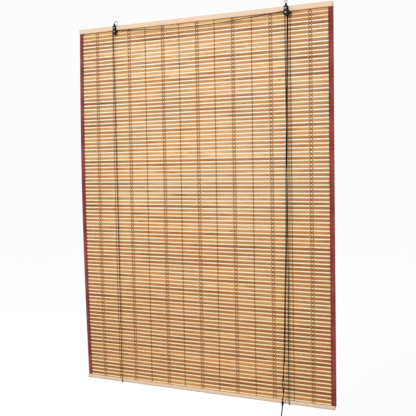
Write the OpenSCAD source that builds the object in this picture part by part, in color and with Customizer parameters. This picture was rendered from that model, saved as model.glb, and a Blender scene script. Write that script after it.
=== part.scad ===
// Rattan roll-up blind. A woven mat of flat slats and round reeds is clamped between two battens
// at the top and between a moulded rail and a strip at the bottom. Two cords run down its back,
// under the bottom rail, up its front and over pulley blocks on the headrail to one pull.
// +X is the viewer's right, -Y is the front and +Z is up. The origin is the middle of the back
// face of the headrail.

/* [Blind] */
// Width of the headrail and of the bound mat
blind_w = 1200; // [1000:10:1500]
// Height from the top of the headrail to the underside of the bottom rail
blind_h = 1600; // [1200:10:1800]

/* [Headrail] */
// Height of both headrail battens
headrail_h = 20; // [18:0.5:30]
// Depth of the batten in front of the mat
headrail_d = 7; // [6.5:0.5:12]
// Depth of the batten behind the mat
back_batten_d = 13.6; // [12:0.1:16]
// Distance from the ends of the headrail to those of the batten and the strip behind the mat
back_inset = 15; // [12:0.5:20]
// Bevel on the long edges of the battens
batten_bevel = 1; // [0.5:0.25:2]

/* [Bottom rail] */
// Height of the bottom rail
bottom_rail_h = 15; // [13:0.5:20]
// Distance from the ends of the headrail to those of the bottom rail
bottom_rail_inset = 4; // [2:0.5:8]
// Depth of the moulded rail in front of the mat
bottom_rail_d = 10; // [8:0.5:14]
// Radius of the moulded front of the rail
bottom_rail_nose_r = 9; // [8.5:0.5:14]
// Depth of the strip behind the mat
bottom_strip_d = 6; // [5:0.5:8]

/* [Mat] */
// Distance from one slat to the next, before it is fitted to the drop
row_pitch = 16.5; // [16.4:0.1:18]
// Height of a flat slat
slat_h = 9.4; // [8:0.1:9.6]
// Thickness of a flat slat
slat_t = 3.4; // [2.6:0.1:4.4]
// Diameter of a round reed
reed_d = 6; // [5.4:0.1:6.4]
// Thickness of the web that ties slat to reed
web_t = 1.6; // [1:0.1:2.2]
// Height of the gap under each reed
slit_h = 0.8; // [0.7:0.05:1.2]

/* [Binding] */
// Width of the fabric tape on each face
tape_w = 20; // [12:0.5:30]
// Thickness of the fabric tape
tape_t = 0.8; // [0.5:0.1:1.2]
// Distance between the thread columns
thread_pitch = 84.5; // [60:0.5:90]
// Distance between the two threads of a double column
thread_pair_gap = 12; // [6:1:20]
// Diameter of a thread
thread_d = 2; // [1:0.1:2.4]

/* [Tacks] */
// Number of tacks in each rail
tack_count = 6; // [4:2:8]
// Distance from the end of a rail to its first tack
tack_inset = 42; // [30:1:60]
// Diameter of a tack's shank
tack_d = 2; // [1.6:0.1:2.4]
// Diameter of a tack's head
tack_head_d = 5; // [4:0.1:6]
// Thickness of a tack's head
tack_head_t = 1; // [0.6:0.1:1.5]

/* [Pulley blocks] */
// Place of the single block along the headrail
left_block_x = -404; // [-440:1:-350]
// Place of the double block along the headrail
right_block_x = 411; // [350:1:440]
// Width of the strap that a block is bent from
strap_w = 13.5; // [12.5:0.5:15]
// Width of a block's cheeks beside the wheel
cheek_w = 18; // [17:0.5:20]
// Height of the cheeks above the axle
cheek_rise = 6; // [5:0.5:7]
// Thickness of the strap
strap_t = 1.5; // [1.2:0.1:2]
// Distance of the wheel's axle below the middle of the headrail
axle_drop = 16; // [16:0.5:24]
// Length of the cheeks below the axle
strap_tail = 13; // [11:0.5:16]
// Diameter of the wheel's axle
axle_d = 3; // [2.5:0.1:3.5]
// Diameter of a rivet's head
rivet_head_d = 6; // [5:0.1:6.5]
// Thickness of a rivet's head
rivet_head_t = 1.2; // [0.8:0.1:1.6]
// Diameter of the screw that holds a block
screw_d = 3; // [2.5:0.1:3.5]
// Length of the screw in the headrail
screw_bite = 5.5; // [4:0.5:6]

/* [Wheels] */
// Outer diameter of a wheel
wheel_d = 18; // [17:0.5:19]
// Width of a wheel
wheel_w = 5; // [4.6:0.1:6]
// Free space on each side of a wheel
wheel_play = 0.5; // [0.4:0.1:0.8]
// Diameter at which the cord runs, at its middle
cord_run_d = 13; // [12:0.5:13]

/* [Hangers] */
// Diameter of the neck above a block
neck_d = 9; // [8:0.5:9]
// Height of the neck above the headrail
neck_h = 8; // [6:0.5:12]
// Diameter of the hanger wire
wire_d = 2.4; // [2:0.1:3]
// Radius of the open hook, at the middle of its wire
hook_r = 8; // [7.5:0.5:12]
// Length of the hook's straight legs above the neck
hook_leg = 2; // [1.5:0.5:5]
// Radius of the closed eye, at the middle of its wire
eye_r = 5.5; // [5:0.5:8]

/* [Cord lock] */
// Distance of the lever's pin to the side of the right block
lever_x = 14.5; // [14.5:0.5:17]
// Distance of the lever's pin below the middle of the headrail
lever_drop = 14; // [12:0.5:15]
// Width of the lever at its pin
lever_w = 6.5; // [6.5:0.5:8]
// Width of the lever at its round end
lever_tip_w = 5; // [4.5:0.5:6]
// Length of the lever from its pin to the middle of its round end
lever_l = 9.5; // [9:0.5:16]
// Number of grip grooves
grip_count = 3; // [2:1:4]

/* [Cord] */
// Diameter of a cord
cord_d = 3; // [2.4:0.1:3.2]
// Diameter of the twisted tail of the pull
tail_d = 5; // [4:0.5:6]
// Diameter of the knot that joins the pull strands
pull_knot_d = 11; // [9:0.5:14]
// Height of that knot
pull_knot_h = 14; // [10:0.5:18]
// Diameter of the stopper knots
stop_knot_d = 8; // [7:0.5:10]
// Height of the stopper knots
stop_knot_h = 7; // [5:0.5:9]

/* [Fits] */
// Gap between pieces that are held together
seat_gap = 0.1; // [0.05:0.01:0.15]
// Radial clearance of a shaft that turns
running_gap = 0.05; // [0.02:0.01:0.08]
// Gap between a wheel and its cord
cord_gap = 0.3; // [0.3:0.05:0.5]

/* [Hidden] */

$fn = 48;
slip = 1;

// Levels of the two rails
headrail_top = headrail_h / 2;
headrail_bottom = -headrail_h / 2;
rail_bottom = headrail_top - blind_h;
rail_top = rail_bottom + bottom_rail_h;
rail_mid = rail_bottom + bottom_rail_h / 2;

// Lengths of the pieces that are shorter than the headrail
back_w = blind_w - 2 * back_inset;
rail_w = blind_w - 2 * bottom_rail_inset;

// Depths, from the wall forwards
mat_back_y = -back_batten_d;
mat_y = mat_back_y - seat_gap - reed_d / 2;
mat_front_y = mat_y - reed_d / 2 - seat_gap;
headrail_front_y = mat_front_y - headrail_d;
rail_front_y = mat_front_y - bottom_rail_d;
strip_back_y = mat_back_y + bottom_strip_d;

// Rows of the mat: each has a slat above a reed, and one slat is held in each rail
mat_drop = headrail_bottom - rail_top;
rows = round(mat_drop / row_pitch);
pitch = mat_drop / rows;
row_gap = (pitch - slat_h - reed_d) / 2;
slat_lead = (row_gap + slat_h) / 2;
mat_w = blind_w - 2 * (tape_t + seat_gap);

// Tacks
tack_step = (blind_w - 2 * tack_inset) / (tack_count - 1);
rail_tack_z = rail_top - slat_lead;
headrail_tack_z = 0;

// Blocks
plate_back_y = headrail_front_y;
single_gap = wheel_w + 2 * wheel_play;
double_gap = 2 * wheel_w + 3 * wheel_play;
axle_z = -axle_drop;
bridge_z = headrail_top - strap_t;
strap_corner = 2;
cheek_corner = 4;
wheel_rear_y = plate_back_y - strap_t - wheel_play - wheel_w / 2;
wheel_front_y = wheel_rear_y - wheel_play - wheel_w;
dome_share = 1.12;
swivel_head_d = 2 * wire_d;
swivel_head_t = 1.2;
swivel_drop = 0.3;
lever_t = double_gap - 2 * wheel_play;
lever_z = -lever_drop;
grip_r = 0.9;
grip_step = 3 * grip_r;

// Route of the left cord, from its stopper knot to the knot of the pull
left_route = [[-410, -5, 9.9], [-410, -5, -14], [-410, -5.1, -60], [-410, -5.6, -1560],
    [-410, -5.6, -1588], [-410, -6.2, -1591.2], [-410, -8.2, -1592.3], [-410, -11.6, -1592.5],
    [-407.5, -26, -1592.5], [-406.2, -30.6, -1590], [-405.9, -31.9, -1584], [-405.9, -31.9, -1570],
    [-410.5, -31.3, -40], [-410.5, -31.3, -16], [-409.6, -31.3, -12.75], [-407.25, -31.3, -10.37],
    [-404, -31.3, -9.5], [-398, -31.3, -10], [-388, -31.4, -11.2], [-320, -31.8, -17.3],
    [-240, -32.3, -22.8], [-160, -32.8, -26.8], [-80, -33.3, -29.2], [0, -33.9, -30],
    [80, -34.4, -29.2], [160, -35, -26.8], [240, -35.6, -22.8], [320, -36.2, -17.3],
    [395, -36.8, -11], [405, -36.8, -9.9], [411, -36.8, -9.5], [414.25, -36.8, -10.37],
    [416.63, -36.8, -12.75], [417.5, -36.8, -16], [417.4, -36.8, -40], [414.5, -37.5, -150],
    [411, -39.5, -360], [406.5, -42, -640], [403, -43.5, -920], [395, -45, -1200],
    [389.8, -45.4, -1400], [386.4, -44.6, -1462], [382.6, -46.4, -1503], [385.6, -45, -1548],
    [380.8, -48, -1575.4]];

// Route of the right cord, from its stopper knot to the knot of the pull
right_route = [[404, -5, 9.9], [404, -5, -14], [404, -5.1, -60], [404, -5.6, -1560],
    [404, -5.6, -1588], [404, -6.2, -1591.2], [404, -8.2, -1592.3], [404, -11.6, -1592.5],
    [404.2, -26, -1592.5], [404.4, -30.6, -1590], [404.5, -31.9, -1584], [404.5, -31.9, -1570],
    [407, -31.6, -900], [404.5, -31.3, -40], [404.5, -31.3, -16], [405.37, -31.3, -12.75],
    [407.75, -31.3, -10.37], [411, -31.3, -9.5], [414.25, -31.3, -10.37], [416.63, -31.3, -12.75],
    [417.5, -31.3, -16], [417.6, -31.4, -40], [417.2, -34.5, -150], [415, -39.5, -360],
    [411, -42, -640], [407, -43.5, -920], [399, -45, -1200], [393.8, -46, -1400],
    [388, -48.4, -1462], [390, -46.6, -1503], [387.6, -48.8, -1548], [384.6, -48, -1575.4]];

// Route of the tail below the knot of the pull
tail_route = [[382.5, -48, -1590.4], [380.6, -48, -1610], [377.6, -48, -1634], [376.4, -48, -1660],
    [376.4, -48, -1690]];
pull_knot_at = [382.7, -48, -1590];
tail_knot_at = [376.4, -48, -1690.1];

// Straight prism of a depth-and-height outline along the width of the blind
module along_x(length) {
    translate([-length / 2, 0, 0])
        rotate([90, 0, 90])
            linear_extrude(length)
                children();
}

// Plate of an outline seen from the front, from a back face forwards
module plate(back_y, thickness) {
    translate([0, back_y, 0])
        rotate([90, 0, 0])
            linear_extrude(thickness)
                children();
}

// Round bar or bore along the depth, from a front face to a back face
module bar_y(x, z, diameter, front_y, back_y) {
    translate([x, back_y, z])
        rotate([90, 0, 0])
            cylinder(d = diameter, h = back_y - front_y);
}

// Outline of a batten with bevelled edges, from a front depth to a back depth
module batten_outline(front_y, back_y, low_z, high_z) {
    b = batten_bevel;
    polygon([[front_y + b, low_z], [back_y - b, low_z], [back_y, low_z + b], [back_y, high_z - b],
        [back_y - b, high_z], [front_y + b, high_z], [front_y, high_z - b], [front_y, low_z + b]]);
}

// Places of the tacks along a rail
function tack_x(i) = -blind_w / 2 + tack_inset + i * tack_step;

// One tack from behind, with a clearance when it is used to drill a hole
module tack_at(x, z, back_y, front_y, clearance) {
    bar_y(x, z, tack_d + 2 * clearance, front_y - clearance, back_y);
    bar_y(x, z, tack_head_d + 2 * clearance, back_y - tack_head_t - clearance, back_y + clearance);
}

module headrail_tack_set(clearance) {
    for (i = [0 : tack_count - 1])
        tack_at(tack_x(i), headrail_tack_z, 0, headrail_front_y + headrail_d / 2, clearance);
}

module rail_tack_set(clearance) {
    for (i = [0 : tack_count - 1])
        tack_at(tack_x(i), rail_tack_z, strip_back_y, rail_front_y + bottom_rail_d / 2, clearance);
}

module headrail() {
    color([0.90, 0.79, 0.66])
        difference() {
            along_x(blind_w)
                batten_outline(headrail_front_y, mat_front_y, headrail_bottom, headrail_top);
            headrail_tack_set(seat_gap);
            for (x = [left_block_x, right_block_x])
                bar_y(x, 0, screw_d + 2 * seat_gap, headrail_front_y - slip,
                    headrail_front_y + screw_bite + seat_gap);
        }
}

module headrail_back_batten() {
    color([0.88, 0.76, 0.62])
        difference() {
            along_x(back_w)
                batten_outline(mat_back_y, 0, headrail_bottom, headrail_top);
            headrail_tack_set(seat_gap);
            for (route = [left_route, right_route])
                translate([route[0].x, route[0].y, headrail_bottom - slip])
                    cylinder(d = cord_d + 2 * cord_gap, h = headrail_h + 2 * slip);
        }
}

module headrail_tacks() {
    color([0.62, 0.60, 0.57])
        headrail_tack_set(0);
}

// Level of the slat and of the reed in a row, counted from the headrail
function slat_z(row) = headrail_bottom - row * pitch - slat_lead;
function reed_z(row) = slat_z(row) - (slat_h + reed_d) / 2 - row_gap;

module slat_outline() {
    flat_h = slat_h - slat_t;
    translate([-slat_t / 2, -flat_h / 2])
        square([slat_t, flat_h]);
    for (end = [-1, 1])
        translate([0, end * flat_h / 2])
            circle(d = slat_t);
}

module mat_outline() {
    web_top = slat_z(-1);
    web_bottom = slat_z(rows);
    translate([mat_y - web_t / 2, web_bottom])
        square([web_t, web_top - web_bottom]);
    for (row = [-1 : rows])
        translate([mat_y, slat_z(row)])
            slat_outline();
    for (row = [-1 : rows - 1])
        translate([mat_y, reed_z(row)])
            circle(d = reed_d);
}

module mat() {
    slit_w = blind_w - 2 * tape_w;
    color([0.74, 0.55, 0.36])
        difference() {
            along_x(mat_w)
                mat_outline();
            for (row = [0 : rows - 1])
                translate([-slit_w / 2, mat_y - slat_t, slat_z(row + 1) + (slat_h + row_gap - slit_h) / 2])
                    cube([slit_w, 2 * slat_t, slit_h]);
            for (side = [-1, 1])
                translate([side * (rail_w + bottom_rail_inset) / 2, mat_y, rail_mid])
                    cube([bottom_rail_inset, 2 * reed_d, bottom_rail_h], center = true);
            headrail_tack_set(seat_gap);
            rail_tack_set(seat_gap);
        }
}

// Places of the threads: double columns and single columns by turns
function thread_offsets(column) = column % 2 == 0 ? [-0.5, 0.5] * thread_pair_gap : [0];

module binding_threads() {
    columns = floor((blind_w / 2 - tape_w - thread_pair_gap) / thread_pitch);
    reach = reed_d / 2 + thread_d / 2 + seat_gap / 2;
    color([0.55, 0.33, 0.22])
        for (column = [-columns : columns], offset = thread_offsets(column), side = [-1, 1])
            translate([column * thread_pitch + offset, mat_y + side * reach, rail_top + seat_gap])
                cylinder(d = thread_d, h = mat_drop - 2 * seat_gap);
}

// Tape folded over one edge of the mat, seen from above
module edge_binding_outline() {
    cavity = reed_d / 2 + seat_gap / 2;
    outer = cavity + tape_t;
    edge = blind_w / 2;
    polygon([[edge - tape_w, -outer], [edge - tape_t, -outer], [edge, -outer + tape_t],
        [edge, outer - tape_t], [edge - tape_t, outer], [edge - tape_w, outer],
        [edge - tape_w, cavity], [edge - tape_t, cavity], [edge - tape_t, -cavity],
        [edge - tape_w, -cavity]]);
}

module edge_binding(side) {
    color([0.50, 0.21, 0.20])
        mirror([side < 0 ? 1 : 0, 0, 0])
            translate([0, mat_y, rail_top + seat_gap])
                linear_extrude(mat_drop - 2 * seat_gap)
                    edge_binding_outline();
}

module bottom_rail() {
    color([0.86, 0.74, 0.62])
        difference() {
            along_x(rail_w)
                intersection() {
                    translate([rail_front_y, rail_bottom])
                        square([bottom_rail_d, bottom_rail_h]);
                    translate([rail_front_y + bottom_rail_nose_r, rail_mid])
                        circle(r = bottom_rail_nose_r);
                }
            rail_tack_set(seat_gap);
        }
}

module bottom_rail_back_strip() {
    color([0.84, 0.71, 0.57])
        difference() {
            along_x(back_w)
                batten_outline(mat_back_y, strip_back_y, rail_bottom, rail_top);
            rail_tack_set(seat_gap);
        }
}

module bottom_rail_tacks() {
    color([0.62, 0.60, 0.57])
        rail_tack_set(0);
}

// Outline of a block's strap, with an ear for the lock lever on the double block
module strap_outline(has_ear) {
    half = strap_w / 2;
    cheek = cheek_w / 2;
    end_z = axle_z - strap_tail;
    cheek_z = axle_z + cheek_rise;
    shoulder_z = cheek_z + cheek - half;
    polygon([[cheek_corner - cheek, end_z], [cheek - cheek_corner, end_z],
        [cheek, end_z + cheek_corner], [cheek, cheek_z], [half, shoulder_z],
        [half, headrail_top - strap_corner], [half - strap_corner, headrail_top],
        [strap_corner - half, headrail_top], [-half, headrail_top - strap_corner],
        [-half, shoulder_z], [-cheek, cheek_z], [-cheek, end_z + cheek_corner]]);
    if (has_ear) {
        translate([0, lever_z - lever_w / 2])
            square([lever_x, lever_w]);
        translate([lever_x, lever_z])
            circle(d = lever_w);
    }
}

module pulley_bracket(x, gap, has_ear) {
    front_y = plate_back_y - gap - 2 * strap_t;
    bridge_w = strap_w - 2 * strap_corner;
    color([0.17, 0.16, 0.17])
        translate([x, 0, 0])
            difference() {
                union() {
                    plate(plate_back_y, strap_t)
                        strap_outline(has_ear);
                    plate(plate_back_y - gap - strap_t, strap_t)
                        strap_outline(has_ear);
                    translate([-bridge_w / 2, front_y, bridge_z])
                        cube([bridge_w, gap + 2 * strap_t, strap_t]);
                    translate([0, (front_y + plate_back_y) / 2, bridge_z])
                        cylinder(d = neck_d, h = neck_h + strap_t);
                }
                translate([0, (front_y + plate_back_y) / 2, bridge_z - slip])
                    cylinder(d = wire_d + 2 * running_gap, h = neck_h + strap_t + 2 * slip);
                bar_y(0, axle_z, axle_d + 2 * seat_gap, front_y - slip, plate_back_y + slip);
                bar_y(0, 0, screw_d + 2 * seat_gap, front_y - slip, plate_back_y + slip);
                if (has_ear)
                    bar_y(lever_x, lever_z, axle_d + 2 * seat_gap, front_y - slip, plate_back_y + slip);
            }
}

// Round head on the front of a block, from its seat forwards
module domed_head(x, z, diameter, height, seat_y) {
    translate([x, seat_y, z])
        rotate([90, 0, 0])
            rotate_extrude()
                intersection() {
                    square([diameter / 2, height]);
                    translate([0, height - diameter / 2])
                        circle(d = diameter * dome_share);
                }
}

module bracket_screw(x, gap) {
    seat_y = plate_back_y - gap - 2 * strap_t - seat_gap / 2;
    color([0.76, 0.75, 0.73])
        union() {
            bar_y(x, 0, screw_d, seat_y, headrail_front_y + screw_bite);
            domed_head(x, 0, rivet_head_d, rivet_head_t, seat_y);
        }
}

module pulley_axle(x, gap) {
    seat_y = plate_back_y - gap - 2 * strap_t - seat_gap / 2;
    tail_y = plate_back_y + seat_gap / 2;
    color([0.76, 0.75, 0.73])
        union() {
            bar_y(x, axle_z, axle_d, seat_y, tail_y + rivet_head_t);
            domed_head(x, axle_z, rivet_head_d, rivet_head_t, seat_y);
            bar_y(x, axle_z, rivet_head_d, tail_y, tail_y + rivet_head_t);
        }
}

// Grooved wheel on its axle
module pulley_wheel(x, y) {
    groove_r = cord_d / 2 + cord_gap;
    run_r = cord_run_d / 2;
    bore_r = axle_d / 2 + running_gap;
    color([0.12, 0.11, 0.11])
        translate([x, y, axle_z])
            rotate([90, 0, 0])
                rotate_extrude()
                    difference() {
                        translate([bore_r, -wheel_w / 2])
                            square([wheel_d / 2 - bore_r, wheel_w]);
                        translate([run_r, 0])
                            circle(r = groove_r);
                        translate([run_r, -groove_r])
                            square([wheel_d, 2 * groove_r]);
                    }
}

// Shank of a hanger, turning in the neck of its block
module swivel_shank(length) {
    head_z = bridge_z - swivel_drop - swivel_head_t;
    translate([0, 0, head_z])
        cylinder(d = wire_d, h = headrail_top + neck_h + length - head_z);
    translate([0, 0, head_z])
        cylinder(d = swivel_head_d, h = swivel_head_t);
}

function block_mid_y(gap) = plate_back_y - strap_t - gap / 2;

module hanger_hook_left() {
    bend_z = headrail_top + neck_h + hook_leg;
    color([0.72, 0.71, 0.69])
        translate([left_block_x, block_mid_y(single_gap), 0])
            union() {
                swivel_shank(hook_leg);
                translate([hook_r, 0, bend_z])
                    rotate([90, 0, 0])
                        rotate_extrude(angle = 180)
                            translate([hook_r, 0])
                                circle(d = wire_d);
                translate([2 * hook_r, 0, bend_z - hook_leg])
                    cylinder(d = wire_d, h = hook_leg);
            }
}

module hanger_eye_right() {
    eye_z = headrail_top + neck_h + eye_r + wire_d / 2 + swivel_drop;
    color([0.72, 0.71, 0.69])
        translate([right_block_x, block_mid_y(double_gap), 0])
            union() {
                swivel_shank(wire_d / 2 + swivel_drop);
                translate([0, 0, eye_z])
                    rotate([90, 0, 0])
                        rotate_extrude()
                            translate([eye_r, 0])
                                circle(d = wire_d);
            }
}

// Half the width of the lever at a distance below its pin
function lever_edge(down) = (lever_w + (lever_tip_w - lever_w) * down / lever_l) / 2;

module lock_lever() {
    back_y = plate_back_y - strap_t - wheel_play;
    half = lever_w / 2;
    tip = lever_tip_w / 2;
    color([0.15, 0.13, 0.13])
        translate([right_block_x + lever_x, 0, lever_z])
            difference() {
                plate(back_y, lever_t) {
                    circle(r = half);
                    polygon([[-half, 0], [-tip, -lever_l], [tip, -lever_l], [half, 0]]);
                    translate([0, -lever_l])
                        circle(r = tip);
                }
                bar_y(0, 0, axle_d + 2 * running_gap, back_y - lever_t - slip, back_y + slip);
                for (i = [0 : grip_count - 1])
                    bar_y(lever_edge(lever_l - i * grip_step) + grip_r / 3, i * grip_step - lever_l,
                        2 * grip_r, back_y - lever_t - slip, back_y + slip);
            }
}

module lock_lever_pin() {
    seat_y = plate_back_y - double_gap - 2 * strap_t - seat_gap / 2;
    pin_x = right_block_x + lever_x;
    color([0.17, 0.16, 0.17])
        union() {
            bar_y(pin_x, lever_z, axle_d, seat_y, plate_back_y - seat_gap);
            domed_head(pin_x, lever_z, rivet_head_d, rivet_head_t, seat_y);
        }
}

// Sweep of a round cord along a route: one ring of points square to the route at each point
sides = 8;
first_normal = [0.3, 1, 0.2];
function unit(v) = v / norm(v);
function step_of(route, i) = route[min(i + 1, len(route) - 1)] - route[max(i - 1, 0)];
function headings(route) = [for (i = [0 : len(route) - 1]) unit(step_of(route, i))];
function square_to(n, heading) = unit(n - (n * heading) * heading);
function normals(heading) = [
    for (i = 0, n = square_to(first_normal, heading[0]);
        i < len(heading);
        i = i + 1, n = i < len(heading) ? square_to(n, heading[i]) : n) n];

function tube_points(route, diameter) = let (heading = headings(route), normal = normals(heading)) [
    for (i = [0 : len(route) - 1], s = [0 : sides - 1])
        route[i] + diameter / 2 * (cos(360 * s / sides) * normal[i]
            + sin(360 * s / sides) * cross(heading[i], normal[i]))];

function tube_faces(rings) = concat(
    [[for (s = [0 : sides - 1]) s]],
    [for (i = [0 : rings - 2], s = [0 : sides - 1])
        let (next = (s + 1) % sides)
            [i * sides + s, (i + 1) * sides + s, (i + 1) * sides + next, i * sides + next]],
    [[for (s = [sides - 1 : -1 : 0]) (rings - 1) * sides + s]]);

module cord(route, diameter) {
    color([0.15, 0.09, 0.07])
        polyhedron(points = tube_points(route, diameter), faces = tube_faces(len(route)));
}

// Knot as a turned barrel with flat ends, from its foot upwards
module knot(foot, diameter, height) {
    end_r = diameter / 3;
    bulge_r = diameter / 2;
    color([0.14, 0.08, 0.06])
        translate(foot)
            rotate_extrude()
                intersection() {
                    square([bulge_r, height]);
                    translate([bulge_r - height, height / 2])
                        circle(r = height);
                    translate([0, height / 2])
                        circle(r = sqrt(end_r * end_r + height * height / 4));
                }
}

module anchor_knot(route) {
    knot([route[0].x, route[0].y, headrail_top + seat_gap / 2], stop_knot_d, stop_knot_h);
}

headrail();
headrail_back_batten();
headrail_tacks();
mat();
binding_threads();
edge_binding(-1);  // edge_binding_left
edge_binding(1);  // edge_binding_right
bottom_rail();
bottom_rail_back_strip();
bottom_rail_tacks();
pulley_bracket(left_block_x, single_gap, false);  // pulley_bracket_left
pulley_bracket(right_block_x, double_gap, true);  // pulley_bracket_right
bracket_screw(left_block_x, single_gap);  // bracket_screw_left
bracket_screw(right_block_x, double_gap);  // bracket_screw_right
pulley_axle(left_block_x, single_gap);  // pulley_axle_left
pulley_axle(right_block_x, double_gap);  // pulley_axle_right
pulley_wheel(left_block_x, wheel_rear_y);  // pulley_wheel_left
pulley_wheel(right_block_x, wheel_front_y);  // pulley_wheel_right_front
pulley_wheel(right_block_x, wheel_rear_y);  // pulley_wheel_right_rear
hanger_hook_left();
hanger_eye_right();
lock_lever();
lock_lever_pin();
cord(left_route, cord_d);  // left_cord
cord(right_route, cord_d);  // right_cord
anchor_knot(left_route);  // anchor_knot_left
anchor_knot(right_route);  // anchor_knot_right
knot(pull_knot_at, pull_knot_d, pull_knot_h);  // pull_cord_knot
cord(tail_route, tail_d);  // pull_cord_tail
knot(tail_knot_at - [0, 0, stop_knot_h], stop_knot_d, stop_knot_h);  // tail_knot
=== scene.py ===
# %% [markdown]
# # A woven roll-up blind
# The frame already holds the rigid pieces of the blind at their real size: battens, rails, pulley
# blocks and hangers. This lesson gives each of them its finish. What is woven, sewn, twisted or
# knotted is made here as new surfaces: slats, reeds, threads, edge tapes, cords and knots. All
# sizes are in metres. +X is the viewer's right, -Y is the front and +Z is up.

# %% Load the frame
import math

import bpy
import numpy as np
from mathutils import Matrix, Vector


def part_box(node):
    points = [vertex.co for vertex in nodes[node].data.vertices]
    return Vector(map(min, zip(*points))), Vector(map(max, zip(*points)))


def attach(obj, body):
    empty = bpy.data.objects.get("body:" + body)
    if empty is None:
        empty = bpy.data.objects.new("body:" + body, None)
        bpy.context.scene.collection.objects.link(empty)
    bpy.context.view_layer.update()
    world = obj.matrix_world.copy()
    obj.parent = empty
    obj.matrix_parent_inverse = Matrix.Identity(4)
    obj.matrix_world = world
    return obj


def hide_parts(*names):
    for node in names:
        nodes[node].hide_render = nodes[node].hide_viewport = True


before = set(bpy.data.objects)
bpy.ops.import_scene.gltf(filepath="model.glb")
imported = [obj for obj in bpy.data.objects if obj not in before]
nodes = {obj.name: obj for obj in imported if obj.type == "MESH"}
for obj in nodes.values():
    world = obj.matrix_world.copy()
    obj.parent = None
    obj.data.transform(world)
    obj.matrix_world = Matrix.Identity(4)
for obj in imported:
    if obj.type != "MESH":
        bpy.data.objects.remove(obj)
scene = bpy.context.scene
scene.view_settings.view_transform = "Standard"
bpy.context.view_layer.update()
MM = 0.001
TURN = 2 * math.pi

# %% [markdown]
# ## Camera
# The camera stands to the right of the blind, a little over a third of the way down its drop, and
# is tipped down slightly. Four corners of a flat panel are enough to find such a view: the place,
# the three angles and the lens below put the corners of the battens where the photograph has them.
# A camera looks along its own -Z axis, so its matrix holds right, up and backward as columns.

# %% Camera
CAMERA_AT = np.array([1571.0, -2949.8, -609.0]) * MM
CAMERA_YAW = 0.481
CAMERA_PITCH = -0.056
CAMERA_ROLL = -0.0168
LENS_MM = 67.66
SENSOR_MM = 36.0


def camera_axes(yaw, pitch, roll):
    """Right, up and backward of a camera turned left by yaw, tipped up by pitch and rolled.

    Forward follows from yaw and pitch, level right is square to it, up is right times forward, and
    the roll turns right and up about forward.
    """
    ahead = np.array([-math.sin(yaw), math.cos(yaw), 0.0])
    forward = math.cos(pitch) * ahead + math.sin(pitch) * np.array([0.0, 0.0, 1.0])
    level = np.array([math.cos(yaw), math.sin(yaw), 0.0])
    above = np.cross(level, forward)
    right = math.cos(roll) * level + math.sin(roll) * above
    up = math.cos(roll) * above - math.sin(roll) * level
    return right, up, -forward


camera_data = bpy.data.cameras.new("camera")
camera_data.lens = LENS_MM
camera_data.sensor_width = SENSOR_MM
camera = bpy.data.objects.new("camera", camera_data)
turned = Matrix(np.array(camera_axes(CAMERA_YAW, CAMERA_PITCH, CAMERA_ROLL)).T.tolist())
camera.matrix_world = Matrix.Translation(CAMERA_AT) @ turned.to_4x4()
scene.collection.objects.link(camera)
scene.camera = camera
print("camera at", CAMERA_AT, "with a lens of", LENS_MM, "mm")

# %% [markdown]
# ## Expressions on sockets
# A shader is a sum written with boxes. It is easier to read as a sum written with signs, so a small
# class wraps an output socket, and each operator adds the node that does the work: a Math node for
# values, a Vector Math node as soon as one side is a vector or a colour. Every other node comes
# from one method, which sets a node's own settings before its sockets.

# %% Wires
class Wire:
    """An output socket. Python's operators on it add a node and give back that node's output."""

    def __init__(self, bench, socket):
        self.bench = bench
        self.socket = socket

    def work(self, operation, first, second=0.0):
        """One Math node, or one Vector Math node where either side has three parts or more."""
        kinds = [w.socket.type if isinstance(w, Wire) else type(w) for w in (first, second)]
        vector = any(kind in ("VECTOR", "RGBA", tuple) for kind in kinds)
        node_type = "ShaderNodeVectorMath" if vector else "ShaderNodeMath"
        return self.bench.node(node_type, {"operation": operation}, {0: first, 1: second})

    def __add__(self, other):
        return self.work("ADD", self, other)

    def __radd__(self, other):
        return self.work("ADD", other, self)

    def __sub__(self, other):
        return self.work("SUBTRACT", self, other)

    def __rsub__(self, other):
        return self.work("SUBTRACT", other, self)

    def __mul__(self, other):
        return self.work("MULTIPLY", self, other)

    def __rmul__(self, other):
        return self.work("MULTIPLY", other, self)

    def sine(self):
        return self.work("SINE", self)

    def larger(self, other):
        return self.work("MAXIMUM", self, other)


print("operators:", [name for name in vars(Wire) if name.endswith(("add__", "sub__", "mul__"))])

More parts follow.
